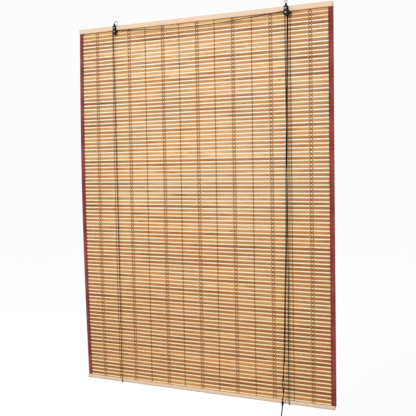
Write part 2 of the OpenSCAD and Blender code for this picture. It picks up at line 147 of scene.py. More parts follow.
# %% Node trees
class Bench:
    """A node tree under construction."""

    def __init__(self, tree):
        self.tree = tree

    def feed(self, socket, value):
        """Links a wire to a socket, or sets a plain value. One number fills a whole vector."""
        if isinstance(value, Wire):
            self.tree.links.new(value.socket, socket)
        elif hasattr(socket.default_value, "__len__") and not hasattr(value, "__len__"):
            socket.default_value = [value] * len(socket.default_value)
        else:
            socket.default_value = value

    def node(self, kind, settings=None, sockets=None, output=0):
        """Any node: its type, its settings, set first, and its sockets' values or wires."""
        made = self.tree.nodes.new(kind)
        for name, value in (settings or {}).items():
            if name == "stops":
                self.set_stops(made.color_ramp, value)
            else:
                setattr(made, name, value)
        for name, value in (sockets or {}).items():
            self.feed(made.inputs[name], value)
        return Wire(self, made.outputs[output])

    def set_stops(self, ramp, stops):
        """A new ramp has two stops. More are added, and all get their place and colour."""
        for place, _ in stops[2:]:
            ramp.elements.new(place)
        for element, (place, colour) in zip(ramp.elements, stops, strict=True):
            element.position = place
            element.color = colour

    def place(self):
        """Object coordinates, which are metres in the blind's own frame."""
        return self.node("ShaderNodeTexCoord", output="Object")

    def split(self, vector):
        """The three parts of a vector."""
        first = self.node("ShaderNodeSeparateXYZ", sockets={0: vector})
        return [Wire(self, socket) for socket in first.socket.node.outputs]

    def point(self, x, y, z):
        """A vector from three values."""
        return self.node("ShaderNodeCombineXYZ", sockets={0: x, 1: y, 2: z})

    def noise(self, vector, scale=1.0, detail=2.0):
        """Smooth random values about 0.5."""
        sockets = {"Vector": vector, "Scale": scale, "Detail": detail}
        return self.node("ShaderNodeTexNoise", sockets=sockets)

    def step(self, value, low, high):
        """A soft step from 0 at low to 1 at high."""
        sockets = {"Value": value, "From Min": low, "From Max": high}
        return self.node("ShaderNodeMapRange", {"interpolation_type": "SMOOTHSTEP"}, sockets)

    def mix(self, share, first, second):
        """A colour between two colours."""
        settings = {"data_type": "RGBA"}
        return self.node("ShaderNodeMix", settings, {0: share, 6: first, 7: second}, output=2)

    def attribute(self, name):
        """Three numbers that a piece's points carry."""
        return self.node("ShaderNodeAttribute", {"attribute_name": name}, output="Vector")


print("a bench can", ", ".join(name for name in vars(Bench) if not name.startswith("_")))

# %% [markdown]
# ## Finishes
# A finish here is one Principled shader. What is the same all over the surface is set on the
# shader's own sockets, and only colour, roughness and the normal get wires. Colours are written as
# they look on a screen, from 0 to 255, and turned into linear light.

# %% Finish and colour helpers
def paint(red, green, blue):
    """A screen colour as linear light: the sRGB curve undone."""
    screen = np.array([red, green, blue]) / 255
    linear = np.where(screen <= 0.04045, screen / 12.92, ((screen + 0.055) / 1.055) ** 2.4)
    return (*linear.tolist(), 1.0)


class Finish(Bench):
    """A material with one Principled shader."""

    def __init__(self, name, constants):
        self.material = bpy.data.materials.new(name)
        self.material.use_nodes = True
        super().__init__(self.material.node_tree)
        self.shader = self.tree.nodes["Principled BSDF"]
        for socket, value in constants.items():
            self.shader.inputs[socket].default_value = value

    def surface(self, colour, roughness, height=None, depth=0.0):
        """Feeds the shader. A height of 1 stands for a relief of depth metres."""
        self.feed(self.shader.inputs["Base Color"], colour)
        self.feed(self.shader.inputs["Roughness"], roughness)
        if height is not None:
            normal = self.node("ShaderNodeBump", sockets={"Height": height, "Distance": depth})
            self.feed(self.shader.inputs["Normal"], normal)
        return self.material


print("mid grey in linear light:", np.round(paint(128, 128, 128), 3))

# %% [markdown]
# ## Surfaces from arrays
# Threads, cords, knots, slats and reeds are all a closed outline carried along a path. One function
# does that for many paths at once, as whole arrays: a path's heading, two directions square to it,
# and a ring of points in those directions. A second one lists the faces. The third puts points and
# faces into a mesh, hangs it on the blind and hides the rigid parts it stands for.

# %% Sweeps
def unit(vectors):
    """Vectors of length one."""
    return vectors / np.linalg.norm(vectors, axis=-1, keepdims=True)


def heading_of(paths, closed):
    """Each path's direction at each point: the step from the point before to the one after."""
    if closed:
        return unit(np.roll(paths, -1, axis=1) - np.roll(paths, 1, axis=1))
    return unit(np.gradient(paths, axis=1))


def tubes(paths, radius, sides, reference, closed=False):
    """Rings of points round each path.

    A point is path + radius * (across * cos(angle) + beyond * sin(angle)). Across is square to
    the reference direction and the heading, and beyond is square to the heading and across.
    """
    heading = heading_of(paths, closed)
    across = unit(np.cross(np.broadcast_to(reference, paths.shape), heading))[:, :, None]
    beyond = np.cross(heading[:, :, None], across)
    angle = (np.arange(sides) / sides * TURN)[:, None]
    return paths[:, :, None] + radius * (across * np.cos(angle) + beyond * np.sin(angle))


def ring_faces(shape, closed=False):
    """Quads between neighbouring rings, with a cap on both ends of an open tube, and corner places.

    Shape is (tubes, rings, points in a ring). A corner's place is (ring, point of the ring),
    counted on past the last point, so that a pattern closes without a jump. On caps it is (0, 0).
    """
    count, rings, sides = shape
    index = np.arange(count * rings * sides).reshape(shape)
    this_side = index if closed else index[:, :-1]
    that_side = np.roll(index, -1, axis=1) if closed else index[:, 1:]
    corners = [this_side, np.roll(this_side, -1, 2), np.roll(that_side, -1, 2), that_side]
    quads = np.stack(corners, axis=-1).reshape(-1, 4)
    ring, side = np.meshgrid(np.arange(this_side.shape[1]), np.arange(sides), indexing="ij")
    along = np.stack([ring, ring, ring + 1, ring + 1], axis=-1)
    around = np.stack([side, side + 1, side + 1, side], axis=-1)
    places = np.tile(np.stack([along, around], axis=-1).reshape(-1, 2), (count, 1))
    if closed:
        return [quads], places
    caps = np.concatenate([index[:, 0, ::-1], index[:, -1]])
    return [quads, caps], np.concatenate([places, np.zeros((caps.size, 2))])


print("a tube of 3 rings of 8 points has", len(ring_faces((1, 3, 8))[0][0]), "quads")

# %% Meshes
def new_piece(name, points, faces, finish, stands_for=(), places=None, marks=None):
    """A mesh from points and lists of faces, smooth, with its finish, riding on the blind.

    Places, one pair for each face corner, become its UV map. Marks, a name and three numbers for
    each point, become an attribute.
    """
    mesh = bpy.data.meshes.new(name)
    points = points.reshape(-1, 3)
    corners = np.concatenate([f.ravel() for f in faces])
    sizes = np.concatenate([np.full(len(f), f.shape[1]) for f in faces])
    mesh.vertices.add(len(points))
    mesh.vertices.foreach_set("co", points.astype(np.float32).ravel())
    mesh.loops.add(len(corners))
    mesh.loops.foreach_set("vertex_index", corners.astype(np.int32))
    mesh.polygons.add(len(sizes))
    mesh.polygons.foreach_set("loop_start", (np.cumsum(sizes) - sizes).astype(np.int32))
    mesh.polygons.foreach_set("use_smooth", np.ones(len(sizes), bool))
    mesh.update(calc_edges=True)
    if places is not None:
        mesh.uv_layers.new(name="UVMap").data.foreach_set("uv", places.astype(np.float32).ravel())
    if marks is not None:
        values = mesh.attributes.new(marks[0], "FLOAT_VECTOR", "POINT")
        values.data.foreach_set("vector", marks[1].astype(np.float32).ravel())
    mesh.validate()
    mesh.materials.append(finish)
    piece = bpy.data.objects.new(name, mesh)
    scene.collection.objects.link(piece)
    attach(piece, "blind")
    if stands_for:
        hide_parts(*stands_for)
    print(f"{name}: {len(points)} points, {int((sizes - 2).sum())} triangles")
    return piece


print("new pieces are linked to", scene.collection.name)

# %% [markdown]
# ## Cord finish
# The blind is raised by a braided cord of dark brown cotton, 3 mm thick. A braid is two sets of
# strands that wind round the cord in opposite directions and pass over and under each other. Two
# sine waves over the cord's own UV map, one leaning each way, give that relief: the higher of the
# two is the strand on top. Modelling each strand would cost a million faces on ten metres of cord.

# %% Braided cotton
BRAID_STRANDS = 6
BRAID_LAY = 7 * MM


def braided_cotton():
    """Dark brown braid: the higher of two crossing sets of ridges, with fibres and faded spots."""
    finish = Finish("braided_cotton", {"Specular IOR Level": 0.0})
    along, around, _ = finish.split(finish.node("ShaderNodeUVMap"))
    lean = along * (BRAID_STRANDS * TURN / BRAID_LAY)
    ring = around * (BRAID_STRANDS * TURN)
    ridge_and_groove_shade = (lean + ring).sine().larger((lean - ring).sine())
    fibre = finish.noise(finish.point(along * 900.0, around * 14.0, 0.0), detail=2.0)
    faded = finish.noise(finish.place(), scale=22.0, detail=3.0)
    base = finish.mix(finish.step(faded, 0.35, 0.7), paint(22, 11, 8), paint(36, 20, 15))
    # The braid's ridges scale the colour, so the grooves between strands carry painted shade.
    colour = base * (0.55 + 0.35 * ridge_and_groove_shade + 0.35 * fibre)
    return finish.surface(colour, 0.75 + 0.2 * fibre, ridge_and_groove_shade * 0.8 + fibre * 0.3, 0.25 * MM)


cord_finish = braided_cotton()
print("cord finish has", len(cord_finish.node_tree.nodes), "nodes")

# %% [markdown]
# ## Cords
# Each cord is tied off on the back batten and runs down behind the mat, under the bottom rail and
# up the front. The left one passes over the left wheel and sags across to the right block, so both
# hang down on the right as the two strands of the pull, and end in its knot. The routes are chosen
# points. A cubic through them that never swings past a point makes the curve, and even steps along
# it carry the tube.

# %% Cord routes
CORD_D = 3 * MM
CORD_STEP = 4 * MM
TAIL_STEP = 1 * MM
CORD_SIDES = 10
FINE_STEPS = 24
SKEW = unit(np.array([1.0, 1.0, 1.0]))

left_route = [
    [-410, -5, 9.9], [-410, -5, -14], [-410, -5.1, -60], [-410, -5.6, -1560], [-410, -5.6, -1588],
    [-410, -6.2, -1591.2], [-410, -8.2, -1592.3], [-410, -11.6, -1592.5], [-407.5, -26, -1592.5],
    [-406.2, -30.6, -1590], [-405.9, -31.9, -1584], [-405.9, -31.9, -1570], [-410.5, -31.3, -40],
    [-410.5, -31.3, -16], [-409.6, -31.3, -12.75], [-407.25, -31.3, -10.37], [-404, -31.3, -9.5],
    [-398, -31.3, -10], [-388, -31.4, -11.2], [-320, -31.8, -17.3], [-240, -32.3, -22.8],
    [-160, -32.8, -26.8], [-80, -33.3, -29.2], [0, -33.9, -30], [80, -34.4, -29.2],
    [160, -35, -26.8], [240, -35.6, -22.8], [320, -36.2, -17.3], [395, -36.8, -11],
    [405, -36.8, -9.9], [411, -36.8, -9.5], [414.25, -36.8, -10.37], [416.63, -36.8, -12.75],
    [417.5, -36.8, -16], [417.4, -36.8, -40],
    [414.5, -37.5, -150], [411, -39.5, -360], [406.5, -42, -640], [403, -43.5, -920],
    [395, -45, -1200], [389.8, -45.4, -1400], [386.4, -44.6, -1462], [382.6, -46.4, -1503],
    [385.6, -45, -1548], [380.8, -48, -1575.4],
]
right_route = [
    [404, -5, 9.9], [404, -5, -14], [404, -5.1, -60], [404, -5.6, -1560], [404, -5.6, -1588],
    [404, -6.2, -1591.2], [404, -8.2, -1592.3], [404, -11.6, -1592.5], [404.2, -26, -1592.5],
    [404.4, -30.6, -1590], [404.5, -31.9, -1584], [404.5, -31.9, -1570], [407, -31.6, -900],
    [404.5, -31.3, -40], [404.5, -31.3, -16], [405.37, -31.3, -12.75], [407.75, -31.3, -10.37],
    [411, -31.3, -9.5], [414.25, -31.3, -10.37], [416.63, -31.3, -12.75], [417.5, -31.3, -16],
    [417.6, -31.4, -40], [417.2, -34.5, -150], [415, -39.5, -360], [411, -42, -640],
    [407, -43.5, -920], [399, -45, -1200], [393.8, -46, -1400], [388, -48.4, -1462],
    [390, -46.6, -1503], [387.6, -48.8, -1548], [384.6, -48, -1575.4],
]
tail_route = [
    [382.5, -48, -1590.4], [380.6, -48, -1610], [377.6, -48, -1634], [376.4, -48, -1660],
    [376.4, -48, -1690],
]
# The two strands of the pull run on to these points inside its knot.
left_in_knot = [381.8, -48, -1581]
right_in_knot = [383.6, -48, -1581]


def smooth_route(route, step):
    """Points at even steps along a smooth curve through a route given in millimetres.

    Each coordinate is a cubic of the distance along the route. Its slope at a point is the harmonic
    mean of the slopes on both sides, or zero where they change sign.
    """
    points = np.array(route) * MM
    gap = np.linalg.norm(np.diff(points, axis=0), axis=1)[:, None]
    slope = np.diff(points, axis=0) / gap
    before = slope[:-1]
    after = slope[1:]
    same = before * after > 0
    near = 2 * gap[1:] + gap[:-1]
    far = gap[1:] + 2 * gap[:-1]
    mean = (near + far) / (near / np.where(same, before, 1.0) + far / np.where(same, after, 1.0))
    ends = np.concatenate([slope[:1], np.where(same, mean, 0.0), slope[-1:]])
    t = np.linspace(0, 1, FINE_STEPS, endpoint=False)[None, :, None]
    start = points[:-1, None] * (1 + 2 * t) * (1 - t) ** 2 + points[1:, None] * t**2 * (3 - 2 * t)
    lean = (ends[:-1, None] * t * (1 - t) ** 2 - ends[1:, None] * t**2 * (1 - t)) * gap[:, None]
    fine = np.concatenate([(start + lean).reshape(-1, 3), points[-1:]])
    arc = np.concatenate([[0.0], np.cumsum(np.linalg.norm(np.diff(fine, axis=0), axis=1))])
    even = np.linspace(0, arc[-1], round(arc[-1] / step) + 1)
    return np.stack([np.interp(even, arc, fine[:, k]) for k in range(3)], axis=1)


def length_of(path):
    """The sum of the steps along a path."""
    return float(np.linalg.norm(np.diff(path, axis=0), axis=1).sum())


left_path = smooth_route(left_route + [left_in_knot], CORD_STEP)
right_path = smooth_route(right_route + [right_in_knot], CORD_STEP)
tail_path = smooth_route(tail_route, TAIL_STEP)
print("lengths:", [round(length_of(path), 3) for path in (left_path, right_path, tail_path)])

# %% [markdown]
# Knots come next. An overhand knot that is pulled
# tight is close to a trefoil: a closed curve that passes over and under itself three times.
# Stretched into the box of its rigid stand-in and given a fat tube, it reads as a lump of tied
# cord.

# %% Knots
KNOT_POINTS = 96
KNOT_SIDES = 10
PULL_STRAND_D = 5.6 * MM


def tied_knot(name, node, strand_d):
    """A trefoil in a node's box.

    The curve is (sin t + 2 sin 2t, cos t - 2 cos 2t, -sin 3t), which stays within 3, 3 and 1 of
    its middle. That much is stretched to the box less half a strand. A thick strand closes the
    curve's eyes, as in a knot that is pulled tight.
    """
    low, high = (np.array(corner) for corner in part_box(node))
    middle = (low + high) / 2
    t = np.arange(KNOT_POINTS) / KNOT_POINTS * TURN
    x = (np.sin(t) + 2 * np.sin(2 * t)) / 3
    y = (np.cos(t) - 2 * np.cos(2 * t)) / 3
    path = middle + np.stack([x, y, -np.sin(3 * t)], axis=1) * ((high - low) / 2 - strand_d / 2)
    rings = tubes(path[None], strand_d / 2, KNOT_SIDES, unit(path - middle)[None], closed=True)
    faces, places = ring_faces(rings.shape[:3], closed=True)
    places = places * [length_of(path) / KNOT_POINTS, 1 / KNOT_SIDES]
    return new_piece(name, rings, faces, cord_finish, [node], places)


pull_knot = tied_knot("pull_knot", "pull_cord_knot", PULL_STRAND_D)
left_knot = tied_knot("left_stopper_knot", "anchor_knot_left", CORD_D)
right_knot = tied_knot("right_stopper_knot", "anchor_knot_right", CORD_D)
end_knot = tied_knot("tail_end_knot", "tail_knot", CORD_D)

# %% [markdown]
# The cords themselves are tubes along the even steps. Below the pull's knot the two strands are
# twisted together into a tail, so that piece is two tubes that wind round one path, half a turn
# apart.

# %% Tubes for the cords
TAIL_OFF = 1.4 * MM
TAIL_LAY = 22 * MM


def cord_piece(name, node, path):
    """A round tube along a path, with a UV map in metres along it and turns round it."""
    rings = tubes(path[None], CORD_D / 2, CORD_SIDES, SKEW)
    faces, places = ring_faces(rings.shape[:3])
    places = places * [length_of(path) / (len(path) - 1), 1 / CORD_SIDES]
    return new_piece(name, rings, faces, cord_finish, [node], places)


def twisted_tail(name, node, path):
    """Two strands on a helix: path + offset * (cos a, sin a, 0), with one turn of a to each lay."""
    turn = np.arange(len(path)) * (length_of(path) / (len(path) - 1)) / TAIL_LAY * TURN
    angle = np.stack([turn, turn + TURN / 2])
    wind = TAIL_OFF * np.stack([np.cos(angle), np.sin(angle), np.zeros_like(angle)], axis=-1)
    rings = tubes(path[None] + wind, CORD_D / 2, CORD_SIDES, SKEW)
    faces, places = ring_faces(rings.shape[:3])
    places = places * [TAIL_STEP, 1 / CORD_SIDES]
    return new_piece(name, rings, faces, cord_finish, [node], places)


left_cord = cord_piece("lift_cord_left", "left_cord", left_path)
right_cord = cord_piece("lift_cord_right", "right_cord", right_path)
tail = twisted_tail("pull_tail", "pull_cord_tail", tail_path)

# %% [markdown]

print("three cords made")

# %% [markdown]
# ## Rows of the mat
# The mat is ninety-five rows of one flat brown slat and one round cream reed. The pitch is fitted
# to the drop between the rails, and one more row is clamped at each end. No two slats are alike, so
# each one gets its own three numbers, which its finish reads later: how dark it is, how golden, and
# a seed. A mat that hangs free never stays quite flat: halfway down, this one bellies forward a
# little, most at its left edge, which also stands out to the side. One function moves slats,
# threads and tapes alike.

# %% Rows
ROW_PITCH = 16.5 * MM
SLAT_H = 10.4 * MM
SLAT_T = 3.4 * MM
REED_H = 5.8 * MM
MAT_SEED = 19
mat_low, mat_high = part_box("mat")
headrail_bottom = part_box("headrail")[0].z
rail_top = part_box("bottom_rail")[1].z
mat_y = (mat_low.y + mat_high.y) / 2
reed_d = mat_high.y - mat_low.y
row_count = round((headrail_bottom - rail_top) / ROW_PITCH)
pitch = (headrail_bottom - rail_top) / row_count
row_gap = (pitch - SLAT_H - reed_d) / 2
slat_lead = (row_gap + SLAT_H) / 2
rng = np.random.default_rng(MAT_SEED)


def slat_z(row):
    """Height of a slat's middle, counted from the headrail down."""
    return headrail_bottom - row * pitch - slat_lead


def reed_z(row):
    """Height of the reed under that slat."""
    return slat_z(row) - (SLAT_H + reed_d) / 2 - row_gap


BELLY = 2 * MM
BELLY_LEFT = 10 * MM
SPREAD_LEFT = 5.5 * MM
SPREAD_START = 0.2


def hung(points):
    """Points of the flat mat as they hang.

    The belly is a half sine down the drop. It moves a point forward by a constant and by a part
    that grows with the square of the distance to the left of the middle. The spread begins a fifth
    of the way into that sine, so it is already there at the top, and it grows with the sixth power
    of that distance.
    """
    x, y, z = np.moveaxis(points, -1, 0)
    share = np.clip((headrail_bottom - z) / (headrail_bottom - rail_top), 0, 1)
    leftward = np.clip(x / mat_low.x, 0, 1)
    forward = np.sin(math.pi * share) * (BELLY + BELLY_LEFT * leftward**2)
    early = SPREAD_START + (1 - SPREAD_START) * share
    spread = np.sin(math.pi * early) * SPREAD_LEFT * leftward**6
    return np.stack([x - spread, y - forward, z], axis=-1)


slat_rows = np.arange(-1, row_count + 1)
reed_rows = np.arange(-1, row_count)
print(row_count, "rows at", round(pitch / MM, 3), "mm, gap", round(row_gap / MM, 3), "mm")

# %% [markdown]
# ## Slats and reeds
# A split slat is never quite straight or even. Three slow sine waves of random length, phase and
# size for each slat bend its middle, and three more change its width, by tenths of a millimetre, so
# that the rows hardly touch. A slat's outline is a rounded rectangle, and a reed's is nearly a
# circle.

# %% Slats and reeds as surfaces
SLAT_POINTS = 49
SLAT_SIDES = 16
REED_SIDES = 10
SLAT_ROUNDING = 0.4
REED_ROUNDING = 1.0
SLAT_BEND = 0.3 * MM
SLAT_SWELL = 0.05
SLAT_TONE = 0.52
TONE_SPREAD = 0.13


def slow_waves(count, most):
    """Smooth random bends along x, one line for each bar: most times the mean of three sines."""
    shape = (count, 3, 1)
    waves = rng.uniform(0.4, 3.0, shape)
    phase = rng.uniform(0, TURN, shape)
    size = rng.uniform(0.3, 1.0, shape)
    share = np.linspace(0, 1, SLAT_POINTS)
    return most * (size * np.sin(TURN * waves * share + phase)).mean(axis=1)


def slat_marks(count):
    """Tone, gold and seed for each slat, in that order."""
    tone = np.clip(rng.normal(SLAT_TONE, TONE_SPREAD, count), 0, 1)
    gold = rng.uniform(0, 1, count)
    seed = np.arange(count) * 3.7 + rng.uniform(0, 3, count)
    return np.stack([tone, gold, seed], axis=1)


def bars(name, middle_z, outline, half_height, half_depth, finish, stands_for):
    """Bars along x: a point is (x, mat middle + depth * b, height + bend + half height * a).

    The outline is the pairs (a, b) round the bar, and each bar has its own bend and its own growth.
    A bar in the bottom rail is as long as the rail.
    """
    count = len(middle_z)
    reach = np.where(middle_z < rail_top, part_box("bottom_rail")[1].x, mat_high.x)
    x = reach[:, None] * np.linspace(-1, 1, SLAT_POINTS)
    bend = slow_waves(count, SLAT_BEND)
    growth = 1 + slow_waves(count, SLAT_SWELL)
    a, b = outline
    height = (middle_z[:, None] + bend)[:, :, None] + half_height * growth[:, :, None] * a
    depth = mat_y + half_depth * growth[:, :, None] * b
    points = hung(np.stack(np.broadcast_arrays(x[:, :, None], depth, height), axis=-1))
    faces, _ = ring_faces(points.shape[:3])
    marks = np.repeat(slat_marks(count), SLAT_POINTS * len(a), axis=0)
    return new_piece(name, points, faces, finish, stands_for, marks=("slat_marks", marks))


def rounded_outline(sides, rounding):
    """Pairs (height, depth) round a bar: sine and cosine raised to a power, with their signs kept.

    A power of 1 gives a circle, and a small one a rectangle with rounded corners.
    """
    angle = (np.arange(sides) + 0.5) / sides * TURN
    a = np.sign(np.sin(angle)) * np.abs(np.sin(angle)) ** rounding
    b = np.sign(np.cos(angle)) * np.abs(np.cos(angle)) ** rounding
    return a, b


print("slat outline:", np.round(rounded_outline(SLAT_SIDES, SLAT_ROUNDING), 2)[:, :4].tolist())

# %% [markdown]
# ## Bamboo finishes
# The slats are stained brown: each has its own tone, drifts lighter and darker along its length,
# and shows fibres, dark streaks and a few small knots. They are a little paler in the middle of the
# width and darker towards the foot. The peeled reeds between them are pale and even. Both are
# whiter near the top and more golden lower down, which is painted light and shade for the lamp's
# light falling off down the drop. The reeds next to the headrail are golden too, as painted shade
# under the headrail. Both read the three numbers of each bar.

# %% Stained slats
def stained_slat():
    """Brown bamboo: a ramp over tone and slow drift, then gold, fibres, streaks and knots."""
    finish = Finish("stained_slat", {"Specular IOR Level": 0.25})
    x, y, z = finish.split(finish.place())
    tone, gold, seed = finish.split(finish.attribute("slat_marks"))
    drift = finish.noise(finish.point(x * 3.4, seed, 0.0), detail=3.0)
    fibre = finish.noise(finish.point(x * 26.0, y * 900.0 + seed, z * 900.0), detail=3.0)
    stain = finish.noise(finish.point(x * 6.0, seed * 1.7, z * 60.0), detail=2.0)
    speck = finish.noise(finish.point(x * 55.0, seed * 2.3, z * 90.0), detail=1.0)
    streak = finish.step(stain, 0.61, 0.7)
    knot = finish.step(speck, 0.74, 0.8)
    pale = finish.step(x * x * -1.0, -0.36, -0.06)
    low = finish.step(z * -1.0, 0.8, 1.5)
    shade = tone + (drift - 0.5) * 1.5 + (fibre - 0.5) * 0.5
    shade = shade + (pale - 0.83) * 0.22 - low * 0.14
    stops = [
        (0.0, paint(142, 90, 52)), (0.3, paint(170, 119, 74)), (0.5, paint(188, 138, 89)),
        (0.75, paint(206, 160, 108)), (1.0, paint(226, 186, 136)),
    ]
    wood = finish.node("ShaderNodeValToRGB", {"stops": stops}, {0: shade})
    wood = finish.mix(gold * 0.6, wood, wood * (1.04, 0.95, 0.68))
    # Painted shade: darker and more golden towards the foot, where less of the lamp's light falls.
    wood = finish.mix(finish.step(z * -1.0, 0.1, 1.2), wood, wood * (0.9, 0.79, 0.58))
    dark = finish.mix(streak * 0.65, wood, wood * (0.62, 0.5, 0.42))
    colour = finish.mix(knot * 0.8, dark, paint(104, 58, 28))
    return finish.surface(colour, 0.42 + 0.25 * fibre, fibre, 0.12 * MM)


bars(
    "slats", slat_z(slat_rows), rounded_outline(SLAT_SIDES, SLAT_ROUNDING),
    SLAT_H / 2, SLAT_T / 2, stained_slat(), ["mat"],
)

# %% Peeled reeds
HEADRAIL_SHADE_Z = (-54 * MM, -45 * MM)


def peeled_reed():
    """Cream reed with fibres: painted light, whiter near the top and golden below, and painted
    shade at the headrail.
    """
    finish = Finish("peeled_reed", {"Specular IOR Level": 0.25})
    x, y, z = finish.split(finish.place())
    tone, gold, seed = finish.split(finish.attribute("slat_marks"))
    drift = finish.noise(finish.point(x * 3.1, seed, 0.0), detail=2.0)
    fibre = finish.noise(finish.point(x * 18.0, y * 1100.0 + seed, z * 1100.0), detail=3.0)
    # Painted light: whiter at the top in the lamp's sheen, more golden lower down in less light.
    low = finish.step(z * -1.0 + (drift - 0.5) * 0.6, 0.2, 1.6)
    cream = finish.mix(low, paint(255, 246, 222), paint(253, 231, 184))
    # Painted shade under the headrail: the reeds next to it are golden.
    cream = finish.mix(finish.step(z, *HEADRAIL_SHADE_Z), cream, paint(253, 226, 178))
    cream = finish.mix(gold * 0.15 + tone * 0.05, cream, paint(244, 212, 160))
    colour = cream * (0.96 + 0.08 * fibre)
    return finish.surface(colour, 0.45 + 0.2 * fibre, fibre, 0.08 * MM)


bars(
    "reeds", reed_z(reed_rows), rounded_outline(REED_SIDES, REED_ROUNDING),
    REED_H / 2, reed_d / 2, peeled_reed(), (),
)

# %% [markdown]
# ## Binding threads
# Cotton threads tie the rows. Columns of two threads take turns with columns of one. In a double
# column a light thread runs straight on either side, and two thin dark ones change sides over each
# slat and hide under the light ones over each reed, so the column is a chain of eyes. Over the
# slats the straight threads are painted lighter, as painted light, and the crossing ones darker, as
# painted shade. The thread of a single column is two strands that wind round each other. On the
# back one strand holds each thread. All of them rise over the reeds and dip on to the flat slats.
# No two columns are spaced quite alike.

# %% Thread paths
STRAIGHT_D = 2.4 * MM
CROSSED_D = 1.4 * MM
WOUND_D = 1.5 * MM
THREAD_PITCH = 84.5 * MM
PAIR_GAP = 11.5 * MM
THREAD_SIDES = 6
COLUMNS_EACH_SIDE = 6
REED_HUG = 1.25
FRONT = np.array([0.0, -1.0, 0.0])
columns = np.arange(-COLUMNS_EACH_SIDE, COLUMNS_EACH_SIDE + 1)
pair_shift = np.array([3.0, 1.5, 4.0, 2.0, 0.0, -1.0, -1.5]) * MM
double_x = columns[columns % 2 == 0] * THREAD_PITCH + pair_shift
single_x = columns[columns % 2 == 1] * THREAD_PITCH


def row_phase(z):
    """Place within a row: whole numbers at the middle of the slats, halves at about the reeds."""
    return (slat_z(0) - z) / pitch


def rest_depth(z, thickness):
    """How far from the mat's middle a strand lies: on the reed's crown, and lower on the slat."""
    over_reed = 0.5 - 0.5 * np.cos(TURN * row_phase(z))
    return SLAT_T / 2 + (reed_d - SLAT_T) / 2 * np.clip(over_reed * REED_HUG, 0, 1) + thickness / 2


def strand_heights(steps_a_row):
    """Even heights from the headrail to the bottom rail, so many to each row."""
    return np.linspace(headrail_bottom, rail_top, row_count * steps_a_row + 1)


def strands(x, y, z):
    """Paths from the place across, the depth and the height at each step."""
    return np.stack(np.broadcast_arrays(x, y, z), axis=-1)


def thread_piece(name, paths, diameter, finish, stands_for=()):
    """Thin tubes along strands, hung with the mat, with a UV map in metres of drop and turns."""
    rings = tubes(hung(paths), diameter / 2, THREAD_SIDES, FRONT)
    faces, places = ring_faces(rings.shape[:3])
    places = places * [(headrail_bottom - rail_top) / (paths.shape[1] - 1), 1 / THREAD_SIDES]
    return new_piece(name, rings, faces, finish, stands_for, places)


print(len(double_x), "double columns and", len(single_x), "single ones")

# %% [markdown]
# The threads are two-ply cotton. Tubes for the plies would be too fine to see, so a sine over the
# thread's UV map, which leans round it, gives them as relief, and the grooves between the plies are
# painted darker as shade. Each kind of thread has two browns, painted light and shade on one
# colour:
# one for where it lies on a reed and one for where it lies on a slat.

# %% Thread finish
PLY_LAY = 6 * MM


def twisted_thread(name, shading_on_reed, shading_on_slat):
    """Two-ply cotton: ridges that wind along the UV map, fuzz, and one of two browns.

    A sine of the height, one wave to a row, tells whether the thread lies on a reed or a slat. The
    two browns are painted light and shade, and the ridges put painted shade in their grooves.
    """
    finish = Finish(name, {"Specular IOR Level": 0.0})
    place = finish.place()
    _, _, z = finish.split(place)
    along, around, _ = finish.split(finish.node("ShaderNodeUVMap"))
    ply = (along * (TURN / PLY_LAY) + around * (2 * TURN)).sine()
    fuzz = finish.noise(place, scale=1600.0, detail=2.0)
    # Painted light and shade: a lit or a shaded brown by whether the thread lies on a slat or a
    # reed.
    row = ((z - slat_z(0)) * (TURN / pitch) + TURN / 4).sine()
    brown = finish.mix(finish.step(row, -0.4, 0.6), shading_on_reed, shading_on_slat)
    # The ply ridges scale the colour, so the grooves between the plies carry painted shade.
    colour = brown * (0.75 + 0.15 * ply + 0.5 * fuzz)
    return finish.surface(colour, 0.8 + 0.15 * fuzz, ply * 0.6 + fuzz * 0.4, 0.25 * MM)


# Each pair is one thread's brown on a reed and on a slat, painted light and shade.
straight_finish = twisted_thread("straight_thread", paint(168, 104, 68), paint(236, 170, 116))
crossed_finish = twisted_thread("crossed_thread", paint(146, 83, 52), paint(134, 73, 41))
single_finish = twisted_thread("single_thread", paint(178, 117, 82), paint(146, 86, 51))
print("a thread finish has", len(single_finish.node_tree.nodes), "nodes")

# %% [markdown]
# All strands of one kind are one array of paths, worked out for every column at once. A clipped
# sine with half a wave to a row carries the dark strands from side to side over each slat, and one
# of each two is lifted where they cross. The strands of a single column wind by a cosine and a
# sine.

# %% Front and back threads
CROSS_STEPS = 10
RUN_STEPS = 6
BACK_STEPS = 4
CROSS_SPEED = 1.3
CROSS_LIFT = 0.9
ROW_TURN = TURN / 2
sign = np.array([-1.0, 1.0])

z = strand_heights(CROSS_STEPS)
swing = np.clip(CROSS_SPEED * np.sin(ROW_TURN * row_phase(z)), -1, 1)
cross_x = double_x[:, None, None] + sign[:, None] * PAIR_GAP / 2 * swing
lift = CROSSED_D * np.array([0.0, CROSS_LIFT])[:, None] * (1 - np.abs(swing))
cross_y = mat_y - rest_depth(z, CROSSED_D) - lift
crossing = strands(cross_x, cross_y, z).reshape(-1, len(z), 3)
thread_piece("threads_crossing", crossing, CROSSED_D, crossed_finish, ["binding_threads"])

z = strand_heights(RUN_STEPS)
straight_x = (double_x[:, None] + sign * PAIR_GAP / 2).ravel()
straight = strands(straight_x[:, None], mat_y - rest_depth(z, STRAIGHT_D), z)
thread_piece("threads_straight", straight, STRAIGHT_D, straight_finish)

wind = ROW_TURN * row_phase(z) + np.array([0.0, ROW_TURN])[:, None]
wound_x = single_x[:, None, None] + WOUND_D / 2 * np.cos(wind)
wound_y = mat_y - rest_depth(z, WOUND_D) - WOUND_D / 4 * (1 + np.sin(wind))
wound = strands(wound_x, wound_y, z).reshape(-1, len(z), 3)
thread_piece("threads_wound", wound, WOUND_D, single_finish)

